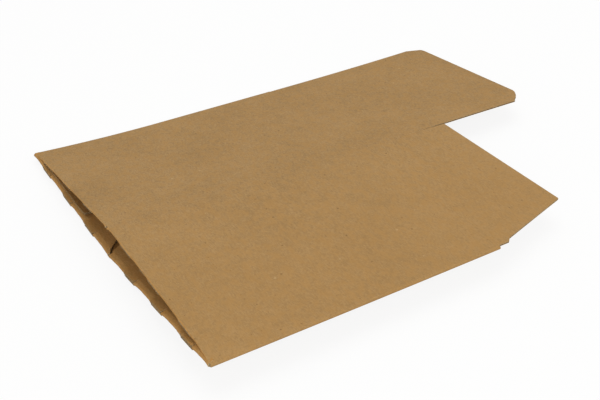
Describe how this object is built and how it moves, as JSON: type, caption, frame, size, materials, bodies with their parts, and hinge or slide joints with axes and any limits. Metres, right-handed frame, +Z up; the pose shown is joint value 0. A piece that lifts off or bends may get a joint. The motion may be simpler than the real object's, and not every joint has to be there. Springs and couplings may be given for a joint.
{
  "type": "folding carton",
  "caption": "Plain brown fluted-board carton with a glued folding bottom and a tuck-in lid, lying folded flat and sprung slightly open.",
  "frame": {"origin": "on the table, under the middle of the folded carton's box", "axes": "+X from the carton's bottom fold to its lid, +Y from the front fold to the back fold, +Z up from the table"},
  "size_m": [0.4532, 0.3586, 0.0295],
  "materials": {
    "kraft_board": "uncoated brown kraft liner on fine-fluted board, matt"
  },
  "bodies": {
    "carton": {"carton_body": "kraft_board"},
    "lid_panel": {"lid": "kraft_board"},
    "tuck": {"tuck_flap": "kraft_board"},
    "dust_flap": {"front_dust_flap": "kraft_board"}
  },
  "joints": [
    {"name": "lid_crease", "type": "hinge", "parent": "carton", "child": "lid_panel", "pos_m": [0.02935, 0.08922, 0.01381], "axis": [0, -0.9933, 0.1154], "range_deg": [0, 150]},
    {"name": "tuck_crease", "type": "hinge", "parent": "lid_panel", "child": "tuck", "pos_m": [0.2082, 0.0893, 0.01446], "axis": [0, -0.9956, 0.0936], "range_deg": [0, 90]},
    {"name": "dust_flap_crease", "type": "hinge", "parent": "carton", "child": "dust_flap", "pos_m": [0.02935, -0.08865, 0.0238], "axis": [0, -1, 0], "range_deg": [0, 150]}
  ]
}
